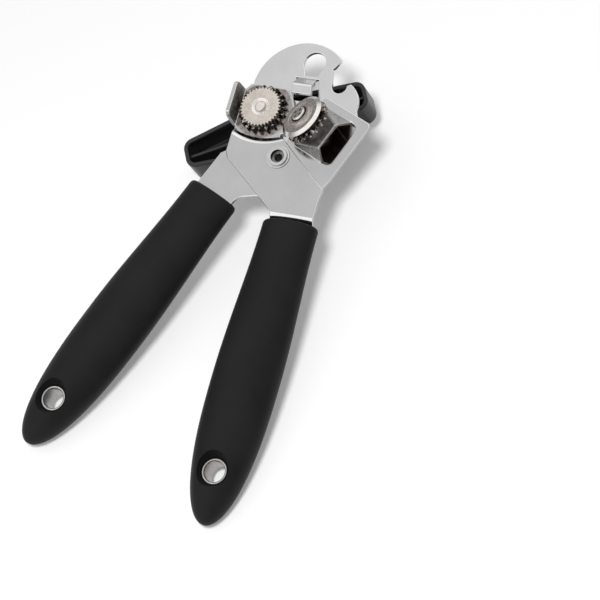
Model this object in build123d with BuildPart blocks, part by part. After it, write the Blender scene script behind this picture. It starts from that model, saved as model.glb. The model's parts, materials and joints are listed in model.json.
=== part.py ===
import os
from math import atan2, cos, degrees, pi, radians, sin, sqrt, tan

from build123d import *

os.makedirs("parts", exist_ok=True)

# Two-lever can opener, shown part-way open. Millimetres, +Z towards the side
# with the wheels, +Y from the grips to the head. The origin is the middle of
# the hang hole in the drive lever's grip.

# ---------------------------------------------------------------- levers
half_opening = 11.2          # each lever's angle from +Y as drawn
closing_swing = 18.6         # further turn of the cutter lever until the gears mesh
plate = 1.8                  # sheet thickness of all three plates
slip = 0.1                   # gap between plates that slide over each other
hang_hole_reach = 136.4      # hang hole to pivot, along a lever
drive_grip_x = 13.3          # drive lever's grip axis beside the pivot
cutter_grip_x = -15.3        # cutter lever's grip axis beside the pivot

middle_top = plate / 2
front_bottom = middle_top + slip
front_top = front_bottom + plate
step = plate + 2 * slip      # height the drive lever's sheet steps down
floor_top = front_top - step
floor_bottom = floor_top - plate
head_top = floor_bottom
head_bottom = head_top - plate
bend_shift = plate * tan(radians(22.5))
grip_mouth_y = -27.3
joggle_y = grip_mouth_y + step + slip  # where the drive lever steps down to its tang
sheet_corner_r = 1.2
guide_x = -24.5              # floor edge that the can guide rises from
guide_lean = 8.0
guide_top = 7.9
guide_bend_r = 1.2
guide_low_y = 12.0
guide_high_y = 29.0

# ---------------------------------------------------------------- pivot
pivot_shank_r = 3.4
running_gap = 0.05           # radial clearance of every turning fit
pivot_washer_r = 5.2
pivot_washer_t = 0.4
rivet_head_r = 4.3
rivet_head_h = 0.7
rivet_cup_r = 2.9
rivet_cup_depth = 1.7
rivet_bore_r = 1.7

# ---------------------------------------------------------------- head plate
keyhole_x = 2.4
keyhole_y = 45.6
keyhole_r = 4.9
keyhole_low_y = keyhole_y - 6.2   # foot of the neck that leads towards the tongue
tongue_root_y = keyhole_low_y
tongue_bend_y = tongue_root_y - 1.2
slot_top_y = tongue_bend_y
lip_bend_y = tongue_bend_y - 4.9
lip_end_y = 28.7
slot_low_y = lip_end_y - 1.1
guide_lip_top = 5.0

# ---------------------------------------------------------------- drive train
drive_x = -13.6              # drive axis beside the pivot, in the drive lever
drive_y = 20.5
gear_teeth = 20
drive_tip_r = 10.7
drive_root_r = 8.7
drive_gear_t = 2.0
feed_teeth = 36
feed_tip_r = 9.0
feed_root_r = 8.1
feed_wheel_t = 1.8
thrust_washer_r = 6.0
thrust_washer_t = 0.3
shaft_r = 3.0
shaft_square = 3.2
shaft_head_r = 2.2
shaft_head_h = 0.5
feed_dish_r = 2.8
feed_dish_rim_r = 3.9
feed_dish_depth = 0.5
bushing_r = 4.3
bushing_flange_r = 6.2
bushing_flange_t = 0.8
spring_washer_h = 0.7
spring_washer_t = 0.35

# ---------------------------------------------------------------- turning key
key_angle = 39.7             # key's long axis from +X as drawn
key_half_length = 42.0
key_half_width = 12.5        # at the hub
key_end_half_width = 6.4
key_corner_r = 4.6
key_rim_z = -14.0
key_depth = 16.0
key_wall = 1.9
key_pocket_depth = 11.0
key_rib_t = 1.6
key_rib_drop = 3.0
key_back_round = 2.5
key_hub_r = 8.6
key_neck_r = 7.2
insert_r = 4.6
insert_flange_r = 6.6
insert_flange_t = 1.2
insert_length = 20.0
key_nut_pocket_r = 5.4
key_washer_r = 4.8
key_washer_t = 0.8

# ---------------------------------------------------------------- cutter
cutter_tilt = 30.0
shelf_bend_x = 0.8           # where the shelf starts to rise, cutter lever frame
shelf_end_x = 16.5
window_low = 8.4
window_high = 28.9
window_end_x = 20.8
window_corner_r = 2.4
frame_top_y = 32.8
frame_right_x = 25.3
frame_corner_r = 2.2
low_gusset_lean = 0.30       # run per unit of height
high_gusset_lean = 0.62
gusset_t = 1.5
cutter_x = 5.8               # where the cutter axis leaves the shelf
cutter_y = 18.4
spacer_h = 3.3
spacer_r = 4.6
cutter_gear_t = 1.8
cutter_tip_r = 10.5
cutter_root_r = 8.5
cutter_hub_r = 5.2
cutter_hub_h = 1.7
blade_r = 10.4
blade_back_r = 9.3
blade_face_r = 8.8
blade_back_h = 0.95
blade_front_h = 1.1
blade_land = 0.12
blade_boss_r = 5.4
blade_boss_h = 0.8
axle_r = 2.6
axle_head_r = 3.3
axle_head_h = 1.1
stake_r = 0.55
stake_ring_r = 1.7
stake_depth = 0.4
backing_washer_r = 4.4
backing_washer_t = 0.5
axle_tail_r = 3.3
axle_tail_h = 0.6

# ---------------------------------------------------------------- grips
tip_beyond_hole = 21.4       # hang hole to the rounded end
tang_beyond_hole = 7.6
grip_length = hang_hole_reach + tip_beyond_hole + grip_mouth_y
shoulder_half_width = 9.8
shoulder_y = grip_mouth_y - 1.8
shoulder_slope = 1.6
tang_half_width = 8.0
tang_end_y = -hang_hole_reach - tang_beyond_hole
tang_gap = 0.05
eyelet_outer_r = 4.9
eyelet_bore_r = 4.4
eyelet_half_length = 5.0
eyelet_flange_r = 5.6
eyelet_flange_t = 0.7
eyelet_hole_gap = 0.05
dish_gap = 0.15              # dish floor beyond the eyelet's flange
dish_rise = 6.0
dish_spread = 2.6
grip_mouth_half_width = 12.3
grip_mouth_half_height = 6.9
grip_belly_half_width = 14.6
grip_belly_half_height = 9.3
grip_belly_share = 0.52      # widest place, as a share of the length
grip_width_fullness = 2.5    # higher keeps the size nearer to the end
grip_height_fullness = 4.5
grip_mouth_round = 1.9

# ---------------------------------------------------------------- frames
opening = radians(half_opening)
drive_right = Vector(cos(opening), sin(opening), 0)
drive_up = Vector(-sin(opening), cos(opening), 0)
pivot = drive_right * -drive_grip_x + drive_up * hang_hole_reach
cutter_right = Vector(cos(opening), -sin(opening), 0)
cutter_up = Vector(sin(opening), cos(opening), 0)
up = Vector(0, 0, 1)

drive_side = Plane(origin=pivot, x_dir=drive_right, z_dir=up)
cutter_side = Plane(origin=pivot, x_dir=cutter_right, z_dir=up)


def seat_at(plane, x, y, z=0.0):
    """Plane parallel to the given one with its origin at a local point."""
    return Plane(origin=plane.from_local_coords((x, y, z)), x_dir=plane.x_dir, z_dir=plane.z_dir)


def section_of(seat):
    """Plane that holds a seat's axis: local X is the radius, local Y runs along the axis."""
    return Plane(origin=seat.origin, x_dir=seat.x_dir, z_dir=seat.y_dir * -1)


def axis_of(seat):
    """Turning axis of a seat."""
    return Axis(seat.origin, seat.z_dir)


drive_centre = drive_side.from_local_coords((drive_x, drive_y, 0))
drive_seat = Plane(origin=drive_centre, x_dir=(1, 0, 0), z_dir=up)
key_turn = radians(key_angle)
key_seat = Plane(origin=drive_centre, x_dir=(cos(key_turn), sin(key_turn), 0), z_dir=up)

tilt = radians(cutter_tilt)
shelf_z = middle_top + (cutter_x - shelf_bend_x) * tan(tilt)
cutter_foot = cutter_side.from_local_coords((cutter_x, cutter_y, shelf_z))
cutter_axis_dir = cutter_right * -sin(tilt) + up * cos(tilt)
cutter_slope_dir = cutter_right * cos(tilt) + up * sin(tilt)
cutter_seat = Plane(origin=cutter_foot, x_dir=cutter_slope_dir, z_dir=cutter_axis_dir)

# Heights along the cutter axis, from the shelf's face
gear_low = spacer_h
gear_high = gear_low + cutter_gear_t
blade_low = gear_high + cutter_hub_h
blade_edge = blade_low + blade_back_h
blade_high = blade_edge + blade_front_h
boss_high = blade_high + blade_boss_h

# Levels along the drive axis
drive_gear_low = floor_top + thrust_washer_t
drive_gear_high = drive_gear_low + drive_gear_t
feed_high = drive_gear_high + feed_wheel_t
bushing_low = head_bottom - bushing_flange_t
key_neck_top = bushing_low - spring_washer_h
key_back_z = key_rim_z - key_depth

# Direction from the drive axis to the cutter gear when the levers are closed,
# used to put a tooth of one gear into a gap of the other
closed = radians(closing_swing - half_opening)
mesh_height = (gear_low + gear_high) / 2
mesh_x = cutter_x - mesh_height * sin(tilt)
closed_x = mesh_x * cos(closed) - cutter_y * sin(closed)
closed_y = mesh_x * sin(closed) + cutter_y * cos(closed)
drive_from_pivot = drive_centre - pivot
mesh_angle = degrees(atan2(closed_y - drive_from_pivot.Y, closed_x - drive_from_pivot.X))
tooth_pitch = 360.0 / gear_teeth
gap_angle = 180.0 + (mesh_angle - degrees(closed)) * cos(tilt)


def ring_of_teeth(count, root_r, tip_r, root_share, tip_share, first_angle):
    """Closed outline of a toothed wheel; shares are tooth widths as parts of the pitch."""
    pitch = 360.0 / count
    outline = []
    for tooth in range(count):
        middle = first_angle + tooth * pitch
        corners = [
            (root_r, -root_share),
            (tip_r, -tip_share),
            (tip_r, tip_share),
            (root_r, root_share),
        ]
        for radius, share in corners:
            angle = radians(middle + share * pitch / 2)
            outline.append((radius * cos(angle), radius * sin(angle)))
    return outline


# ================================================================ drive lever
def raised_area(level, grow):
    """Outline of the lever's raised front level, widened down its two sloping steps."""
    with BuildSketch(drive_side.offset(level)) as area:
        with BuildLine():
            ThreePointArc((-24.6, 8.9 + grow), (-12.5, 5.7 + grow), (0.0, 8.7 + grow))
            Polyline(
                (0.0, 8.7 + grow),
                (40, 8.7 + grow),
                (40, joggle_y - grow),
                (-40, joggle_y - grow),
                (-40, 8.9 + grow),
                (-24.6, 8.9 + grow),
            )
        make_face()
    return area.sketch


with BuildPart() as can_guide:
    # Side wall bent up along the floor's left edge, leaning slightly outwards
    lean = radians(guide_lean)
    wall_rise = guide_top - floor_top
    wall_run = wall_rise * tan(lean)
    wall_width = plate / cos(lean)
    with BuildSketch(Plane(origin=pivot, x_dir=drive_right, z_dir=drive_up * -1)):
        Polygon(
            (guide_x + 1.0, floor_bottom),
            (guide_x + 1.0, floor_top),
            (guide_x, floor_top),
            (guide_x - wall_run, guide_top),
            (guide_x - wall_run - wall_width, guide_top),
            (guide_x - wall_width + plate * tan(lean), floor_bottom),
            align=None,
        )
    extrude(amount=-60)
    low_edges = can_guide.edges().filter_by(GeomType.LINE).group_by(Axis.Z)[0]
    bend = low_edges.sort_by(Axis(pivot, drive_right))[0]
    fillet(bend, guide_bend_r)
    with BuildSketch(Plane(origin=pivot, x_dir=drive_up, z_dir=drive_right)):
        Polygon(
            (guide_low_y, floor_bottom),
            (guide_high_y, floor_bottom),
            (29.6, guide_top - 1.2),
            (28.4, guide_top),
            (15.2, guide_top),
            (13.6, guide_top - 1.6),
            align=None,
        )
    extrude(amount=60, both=True, mode=Mode.INTERSECT)

with BuildPart() as drive_lever_plate:
    # Floor sheet over the whole lever, then the raised level standing on it
    with BuildSketch(drive_side.offset(floor_bottom)):
        Rectangle(90, 400)
    extrude(amount=plate)
    loft([raised_area(floor_top, step), raised_area(front_top, 0)], ruled=True)
    # Hollow under the raised level, so both steps keep the sheet's thickness
    low_sections = [
        raised_area(floor_bottom, step - bend_shift),
        raised_area(front_bottom, -bend_shift),
    ]
    loft(low_sections, ruled=True, mode=Mode.SUBTRACT)
    with BuildSketch(drive_side.offset(floor_bottom)) as drive_sheet:
        with BuildLine():
            floor_edge = ThreePointArc((-4.4, 31.4), (0.2, 20.0), (-2.4, 9.6))
            Polyline(
                floor_edge @ 1,
                (-0.3, 8.6),
                (10.2, -0.3),
                (23.7, -11.2),
                (23.0, -16.5),
                (drive_grip_x + shoulder_half_width, shoulder_y),
                (drive_grip_x + tang_half_width, shoulder_y - shoulder_slope),
                (drive_grip_x + tang_half_width, tang_end_y),
                (drive_grip_x - tang_half_width, tang_end_y),
                (drive_grip_x - tang_half_width, shoulder_y - shoulder_slope),
                (drive_grip_x - shoulder_half_width, shoulder_y),
                (drive_grip_x - shoulder_half_width, -23.9),
                (-22.6, -3.6),
                (-24.0, -0.8),
                (-24.0, 10.2),
                (guide_x, guide_low_y),
                (guide_x, guide_high_y),
                (-22.4, 31.8),
                floor_edge @ 0,
            )
        make_face()
        for sheet_corner in ((23.7, -11.2), (-22.6, -3.6), (10.2, -0.3)):
            fillet(drive_sheet.vertices().sort_by_distance(sheet_corner)[0], sheet_corner_r)
    extrude(amount=plate + step, mode=Mode.INTERSECT)
    # Relief that lets the cutter lever's edge swing in under the raised level
    with BuildSketch(seat_at(drive_side, 0, 8.0, floor_bottom)):
        Rectangle(5.2, 6.0)
    extrude(amount=step, mode=Mode.SUBTRACT)
    add(can_guide.part)
    with BuildSketch(drive_side.offset(floor_bottom)):
        Circle(pivot_shank_r + running_gap)
    extrude(amount=plate + step, mode=Mode.SUBTRACT)
    with BuildSketch(seat_at(drive_side, drive_x, drive_y, floor_bottom)):
        Circle(bushing_r + running_gap)
    extrude(amount=plate, mode=Mode.SUBTRACT)
    with BuildSketch(seat_at(drive_side, drive_grip_x, -hang_hole_reach, floor_bottom)):
        Circle(eyelet_outer_r + eyelet_hole_gap)
    extrude(amount=plate, mode=Mode.SUBTRACT)

# ================================================================ head plate
with BuildPart() as rim_guide:
    # Tongue lifted out of the head plate: flat root, sloping riser, level lip
    riser_run = guide_lip_top - head_top
    riser_angle = atan2(riser_run, tongue_bend_y - lip_bend_y)
    turn_shift = plate * tan(riser_angle / 2)
    with BuildSketch(Plane(origin=pivot, x_dir=drive_up, z_dir=drive_right)):
        with BuildLine():
            Polyline(
                (tongue_root_y, head_top),
                (tongue_bend_y, head_top),
                (lip_bend_y, guide_lip_top),
                (lip_end_y, guide_lip_top),
                (lip_end_y, guide_lip_top - plate),
                (lip_bend_y - turn_shift, guide_lip_top - plate),
                (tongue_bend_y - turn_shift, head_bottom),
                (tongue_root_y, head_bottom),
                close=True,
            )
        make_face()
    extrude(amount=20, both=True)
    with BuildSketch(drive_side.offset(head_bottom)):
        Polygon(
            (-3.3, tongue_root_y),
            (5.0, tongue_root_y),
            (7.4, lip_end_y),
            (-1.7, lip_end_y),
            align=None,
        )
    extrude(amount=guide_lip_top - head_bottom, mode=Mode.INTERSECT)

with BuildPart() as head_plate:
    with BuildSketch(drive_side.offset(head_bottom)):
        with BuildLine():
            left_edge = ThreePointArc((-22.5, 32.0), (-18.4, 45.4), (-7.0, 53.6))
            crown = ThreePointArc(left_edge @ 1, (3.6, 54.0), (13.6, 49.0))
            hook = Polyline(crown @ 1, (13.9, 48.0), (11.9, 44.4), (11.1, 44.0), (11.5, 42.6), (12.9, 36.6))
            notch = ThreePointArc(hook @ 1, (16.2, 33.4), (19.4, 37.3))
            lobe_lead = Line(notch @ 1, (21.0, 38.2))
            lobe = ThreePointArc(lobe_lead @ 1, (25.5, 33.6), (26.6, 27.0))
            right_edge = Polyline(
                lobe @ 1,
                (29.2, 21.0),
                (30.6, 16.8),
                (26.5, 4.0),
                (18.0, -5.0),
                (6.2, -6.6),
            )
            boss = ThreePointArc(right_edge @ 1, (0.6, -8.7), (-7.2, -4.9))
            Polyline(boss @ 1, (-20.6, 7.6), (-22.5, 11.6), left_edge @ 0)
        make_face()
        with Locations((keyhole_x, keyhole_y)):
            Circle(keyhole_r, mode=Mode.SUBTRACT)
        Polygon(
            (keyhole_x - 3.0, keyhole_low_y),
            (keyhole_x + 2.9, keyhole_low_y),
            (keyhole_x + 0.82 * keyhole_r, keyhole_y - 0.54 * keyhole_r),
            (keyhole_x - 0.74 * keyhole_r, keyhole_y - 0.64 * keyhole_r),
            align=None,
            mode=Mode.SUBTRACT,
        )
        Polygon(
            (-4.2, slot_top_y),
            (6.3, slot_top_y),
            (9.0, slot_low_y),
            (-2.7, slot_low_y),
            align=None,
            mode=Mode.SUBTRACT,
        )
        Circle(pivot_shank_r + running_gap, mode=Mode.SUBTRACT)
        with Locations((drive_x, drive_y)):
            Circle(bushing_r + running_gap, mode=Mode.SUBTRACT)
    extrude(amount=plate)
    add(rim_guide.part)

# ================================================================ cutter lever
def louver(inset, drop, foot):
    """Raised wedge of the cutter shelf; inset and drop step in by the sheet's thickness."""
    rise = shelf_end_x + inset - shelf_bend_x
    crest = middle_top + rise * tan(tilt)
    low_foot = window_low + inset + (foot - middle_top) * low_gusset_lean
    low_crest = window_low + inset + (crest - middle_top) * low_gusset_lean
    high_foot = window_high - inset - (foot - middle_top) * high_gusset_lean
    high_crest = window_high - inset - (crest - middle_top) * high_gusset_lean
    start = cutter_side.from_local_coords((-10, 0, 0))
    length = 10 + shelf_end_x + inset
    shelf_start = shelf_bend_x - 12
    shelf_start_z = middle_top - drop - 12 * tan(tilt)
    with BuildPart() as wedge:
        with BuildSketch(Plane(origin=start, x_dir=cutter_up, z_dir=cutter_right)):
            Polygon(
                (low_foot, foot),
                (high_foot, foot),
                (high_crest, crest),
                (low_crest, crest),
                align=None,
            )
        extrude(amount=length)
        with BuildSketch(Plane(origin=pivot, x_dir=cutter_right, z_dir=cutter_up * -1)):
            Polygon(
                (shelf_start, shelf_start_z),
                (shelf_start + 40, shelf_start_z + 40 * tan(tilt)),
                (shelf_start, shelf_start_z + 40 * tan(tilt)),
                align=None,
            )
        extrude(amount=-60, mode=Mode.SUBTRACT)
    return wedge.part


shelf_shell = louver(0, 0, 0)
shelf_hollow = louver(gusset_t, plate / cos(tilt), -plate)

with BuildPart() as cutter_lever_plate:
    with BuildSketch(cutter_side.offset(-middle_top)) as cutter_sheet:
        with BuildLine():
            Polyline(
                (-0.5, 14.5),
                (-0.5, frame_top_y),
                (frame_right_x, frame_top_y),
                (frame_right_x, 4.0),
                (24.7, -1.0),
                (2.4, -18.0),
                (-3.3, -22.0),
                (-4.6, -23.6),
                (cutter_grip_x + shoulder_half_width, grip_mouth_y + 1.4),
                (cutter_grip_x + shoulder_half_width, shoulder_y),
                (cutter_grip_x + tang_half_width, shoulder_y - shoulder_slope),
                (cutter_grip_x + tang_half_width, tang_end_y),
                (cutter_grip_x - tang_half_width, tang_end_y),
                (cutter_grip_x - tang_half_width, shoulder_y - shoulder_slope),
                (cutter_grip_x - shoulder_half_width, shoulder_y),
                (-24.6, -11.4),
                (-23.3, -9.5),
                (-15.0, -5.5),
                (-10.5, -2.3),
                (-6.9, 1.5),
            )
            ThreePointArc((-6.9, 1.5), (-5.2, 4.7), (-2.2, 6.8))
            Polyline((-2.2, 6.8), (-2.2, 11.0), (-0.5, 14.5))
        make_face()
        for frame_corner in ((-0.5, frame_top_y), (frame_right_x, frame_top_y), (24.7, -1.0)):
            fillet(cutter_sheet.vertices().sort_by_distance(frame_corner)[0], frame_corner_r)
        Circle(pivot_shank_r + running_gap, mode=Mode.SUBTRACT)
        with Locations((cutter_grip_x, -hang_hole_reach)):
            Circle(eyelet_outer_r + eyelet_hole_gap, mode=Mode.SUBTRACT)
    extrude(amount=plate)
    add(shelf_shell)
    add(shelf_hollow, mode=Mode.SUBTRACT)
    window_middle_y = (window_low + window_high) / 2
    window_middle_x = (shelf_end_x + window_end_x) / 2
    with BuildSketch(seat_at(cutter_side, window_middle_x, window_middle_y, -plate)) as window:
        Rectangle(window_end_x - shelf_end_x, window_high - window_low)
        fillet(window.vertices().sort_by(Axis.X)[-2:], window_corner_r)
    extrude(amount=2 * plate, mode=Mode.SUBTRACT)
    with BuildSketch(cutter_seat.offset(-2 * plate)):
        Circle(axle_r + running_gap)
    extrude(amount=4 * plate, mode=Mode.SUBTRACT)

# ================================================================ pivot
with BuildPart() as pivot_washers:
    for low in (front_top, head_bottom - pivot_washer_t):
        with BuildSketch(drive_side.offset(low)):
            Circle(pivot_washer_r)
            Circle(pivot_shank_r + running_gap, mode=Mode.SUBTRACT)
        extrude(amount=pivot_washer_t)

with BuildPart() as pivot_rivet:
    head_low = front_top + pivot_washer_t
    head_high = head_low + rivet_head_h
    tail_high = head_bottom - pivot_washer_t
    tail_low = tail_high - rivet_head_h
    with BuildSketch(section_of(drive_side)):
        Polygon(
            (rivet_bore_r, tail_low),
            (rivet_head_r - 0.5, tail_low),
            (rivet_head_r, tail_low + 0.4),
            (rivet_head_r, tail_high),
            (pivot_shank_r, tail_high),
            (pivot_shank_r, head_low),
            (rivet_head_r, head_low),
            (rivet_head_r, head_low + 0.3),
            (rivet_head_r - 0.5, head_high),
            (rivet_cup_r + 0.3, head_high),
            (rivet_cup_r, head_high - 0.3),
            (rivet_cup_r, head_high - rivet_cup_depth),
            (rivet_bore_r, head_high - rivet_cup_depth),
            align=None,
        )
    revolve(axis=axis_of(drive_side))

# ================================================================ drive train
with BuildPart() as drive_bushing:
    with BuildSketch(section_of(drive_seat)):
        Polygon(
            (shaft_r + running_gap, floor_top),
            (bushing_r, floor_top),
            (bushing_r, head_bottom),
            (bushing_flange_r, head_bottom),
            (bushing_flange_r, bushing_low + 0.3),
            (bushing_flange_r - 0.3, bushing_low),
            (shaft_r + running_gap, bushing_low),
            align=None,
        )
    revolve(axis=axis_of(drive_seat))

with BuildPart() as drive_thrust_washer:
    with BuildSketch(drive_seat.offset(floor_top)):
        Circle(thrust_washer_r)
        Circle(shaft_r + running_gap, mode=Mode.SUBTRACT)
    extrude(amount=thrust_washer_t)

with BuildPart() as drive_gear:
    with BuildSketch(drive_seat.offset(drive_gear_low)):
        drive_teeth = ring_of_teeth(gear_teeth, drive_root_r, drive_tip_r, 0.56, 0.30, mesh_angle)
        Polygon(*drive_teeth, align=None)
        Rectangle(shaft_square + 2 * running_gap, shaft_square + 2 * running_gap, mode=Mode.SUBTRACT)
    extrude(amount=drive_gear_t)

with BuildPart() as drive_wheel:
    with BuildSketch(drive_seat.offset(drive_gear_high)):
        feed_outline = ring_of_teeth(feed_teeth, feed_root_r, feed_tip_r, 0.92, 0.12, 0)
        Polygon(*feed_outline, align=None)
        Rectangle(shaft_square + 2 * running_gap, shaft_square + 2 * running_gap, mode=Mode.SUBTRACT)
    extrude(amount=feed_wheel_t)
    # Dished seat around the staked end of the shaft
    with BuildSketch(section_of(drive_seat)):
        Polygon(
            (0, feed_high - feed_dish_depth),
            (feed_dish_r, feed_high - feed_dish_depth),
            (feed_dish_rim_r, feed_high),
            (0, feed_high),
            align=None,
        )
    revolve(axis=axis_of(drive_seat), mode=Mode.SUBTRACT)

with BuildPart() as drive_shaft:
    tail_top = key_neck_top - insert_length - key_washer_t
    with BuildSketch(drive_seat.offset(tail_top)):
        Rectangle(shaft_square, shaft_square)
    extrude(amount=feed_high - feed_dish_depth - tail_top)
    with BuildSketch(drive_seat.offset(key_neck_top)):
        Circle(shaft_r)
    extrude(amount=drive_gear_low - key_neck_top)
    with BuildSketch(section_of(drive_seat)):
        Polygon(
            (0, feed_high - feed_dish_depth),
            (shaft_head_r, feed_high - feed_dish_depth),
            (shaft_head_r, feed_high + shaft_head_h - 0.25),
            (shaft_head_r - 0.4, feed_high + shaft_head_h),
            (0, feed_high + shaft_head_h),
            align=None,
        )
        Polygon(
            (0, tail_top),
            (shaft_r, tail_top),
            (shaft_r, tail_top - 0.5),
            (shaft_r - 0.6, tail_top - 1.0),
            (0, tail_top - 1.0),
            align=None,
        )
    revolve(axis=axis_of(drive_seat))

with BuildPart() as key_spring_washer:
    with BuildSketch(section_of(drive_seat)):
        Polygon(
            (shaft_r + 0.3, bushing_low),
            (bushing_flange_r, bushing_low - spring_washer_h + spring_washer_t),
            (bushing_flange_r, bushing_low - spring_washer_h),
            (shaft_r + 0.3, bushing_low - spring_washer_t),
            align=None,
        )
    revolve(axis=axis_of(drive_seat))

# ================================================================ turning key
def key_outline(shrink):
    """Long outline of the key, moved inwards all round by shrink."""
    end = key_half_length - shrink
    end_half = key_end_half_width - shrink
    middle_half = key_half_width - shrink
    with BuildSketch() as outline:
        Polygon(
            (-end, -end_half),
            (0, -middle_half),
            (end, -end_half),
            (end, end_half),
            (0, middle_half),
            (-end, end_half),
            align=None,
        )
        corners = outline.vertices().filter_by_position(Axis.X, -end - 1, -end + 1)
        corners += outline.vertices().filter_by_position(Axis.X, end - 1, end + 1)
        fillet(corners, key_corner_r - shrink)
    return outline.sketch


key_shell = key_outline(0)
key_hollow = key_outline(key_wall)

with BuildPart() as turning_key:
    with BuildSketch(key_seat.offset(key_back_z)):
        add(key_shell)
    extrude(amount=key_depth)
    fillet(turning_key.edges().group_by(Axis.Z)[0], key_back_round)
    # One pocket in each wing, open towards the plates, with the hub left between
    with BuildSketch(key_seat.offset(key_rim_z)):
        add(key_hollow)
        Circle(key_hub_r, mode=Mode.SUBTRACT)
        Rectangle(2 * key_hub_r, 2 * key_half_width, mode=Mode.SUBTRACT)
    extrude(amount=-key_pocket_depth, mode=Mode.SUBTRACT)
    with BuildSketch(key_seat.offset(key_rim_z - key_pocket_depth)):
        Rectangle(2 * key_half_length - 2 * key_wall, key_rib_t)
    extrude(amount=key_pocket_depth - key_rib_drop)
    with BuildSketch(key_seat.offset(key_rim_z)):
        Circle(key_neck_r)
    extrude(amount=key_neck_top - key_rim_z)
    with BuildSketch(section_of(key_seat)):
        Polygon(
            (0, key_neck_top),
            (insert_flange_r, key_neck_top),
            (insert_flange_r, key_neck_top - insert_flange_t),
            (insert_r, key_neck_top - insert_flange_t),
            (insert_r, key_neck_top - insert_length),
            (key_nut_pocket_r, key_neck_top - insert_length),
            (key_nut_pocket_r, key_back_z),
            (0, key_back_z),
            align=None,
        )
    revolve(axis=axis_of(key_seat), mode=Mode.SUBTRACT)

with BuildPart() as key_insert:
    with BuildSketch(drive_seat.offset(key_neck_top)):
        Circle(insert_flange_r)
    extrude(amount=-insert_flange_t)
    with BuildSketch(drive_seat.offset(key_neck_top)):
        Circle(insert_r)
    extrude(amount=-insert_length)
    with BuildSketch(drive_seat.offset(key_neck_top)):
        Rectangle(shaft_square + 2 * running_gap, shaft_square + 2 * running_gap)
    extrude(amount=-insert_length, mode=Mode.SUBTRACT)

with BuildPart() as key_washer:
    with BuildSketch(drive_seat.offset(tail_top)):
        Circle(key_washer_r)
        Rectangle(shaft_square + 2 * running_gap, shaft_square + 2 * running_gap, mode=Mode.SUBTRACT)
    extrude(amount=key_washer_t)

# ================================================================ cutter
with BuildPart() as cutter_spacer:
    with BuildSketch(cutter_seat):
        Circle(spacer_r)
        Circle(axle_r + running_gap, mode=Mode.SUBTRACT)
    extrude(amount=spacer_h)

with BuildPart() as cutter_gear:
    with BuildSketch(cutter_seat.offset(gear_low)):
        cutter_teeth = ring_of_teeth(
            gear_teeth, cutter_root_r, cutter_tip_r, 0.56, 0.30, gap_angle + tooth_pitch / 2
        )
        Polygon(*cutter_teeth, align=None)
        Circle(axle_r + running_gap, mode=Mode.SUBTRACT)
    extrude(amount=cutter_gear_t)
    with BuildSketch(cutter_seat.offset(gear_high)):
        Circle(cutter_hub_r)
        Circle(axle_r + running_gap, mode=Mode.SUBTRACT)
    extrude(amount=cutter_hub_h)

with BuildPart() as cutter_wheel:
    with BuildSketch(section_of(cutter_seat)):
        Polygon(
            (axle_r + running_gap, blade_low),
            (blade_back_r, blade_low),
            (blade_r, blade_edge - blade_land / 2),
            (blade_r, blade_edge + blade_land / 2),
            (blade_face_r, blade_high),
            (blade_boss_r, blade_high),
            (blade_boss_r - 0.25, boss_high),
            (axle_r + running_gap, boss_high),
            align=None,
        )
    revolve(axis=axis_of(cutter_seat))

with BuildPart() as cutter_axle:
    tail_face = -plate - backing_washer_t
    with BuildSketch(section_of(cutter_seat)):
        Polygon(
            (0, tail_face - axle_tail_h),
            (axle_tail_r - 0.4, tail_face - axle_tail_h),
            (axle_tail_r, tail_face - axle_tail_h + 0.3),
            (axle_tail_r, tail_face),
            (axle_r, tail_face),
            (axle_r, boss_high),
            (axle_head_r, boss_high),
            (axle_head_r, boss_high + axle_head_h - 0.5),
            (axle_head_r - 0.5, boss_high + axle_head_h),
            (0, boss_high + axle_head_h),
            align=None,
        )
    revolve(axis=axis_of(cutter_seat))
    # Staking marks punched into the head
    with BuildSketch(cutter_seat.offset(boss_high + axle_head_h)):
        with PolarLocations(stake_ring_r, 4):
            Circle(stake_r)
    extrude(amount=-stake_depth, mode=Mode.SUBTRACT)

with BuildPart() as cutter_backing_washer:
    with BuildSketch(cutter_seat.offset(tail_face)):
        Circle(backing_washer_r)
        Circle(axle_r + running_gap, mode=Mode.SUBTRACT)
    extrude(amount=backing_washer_t)


# ================================================================ grips
def grip_size(share, mouth, belly, fullness):
    """Half width or half height of a grip at a share of its length."""
    if share < grip_belly_share:
        return mouth + (belly - mouth) * sin(pi / 2 * share / grip_belly_share) ** 2
    past_belly = (share - grip_belly_share) / (1 - grip_belly_share)
    return belly * sqrt(1 - past_belly**fullness)


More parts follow.
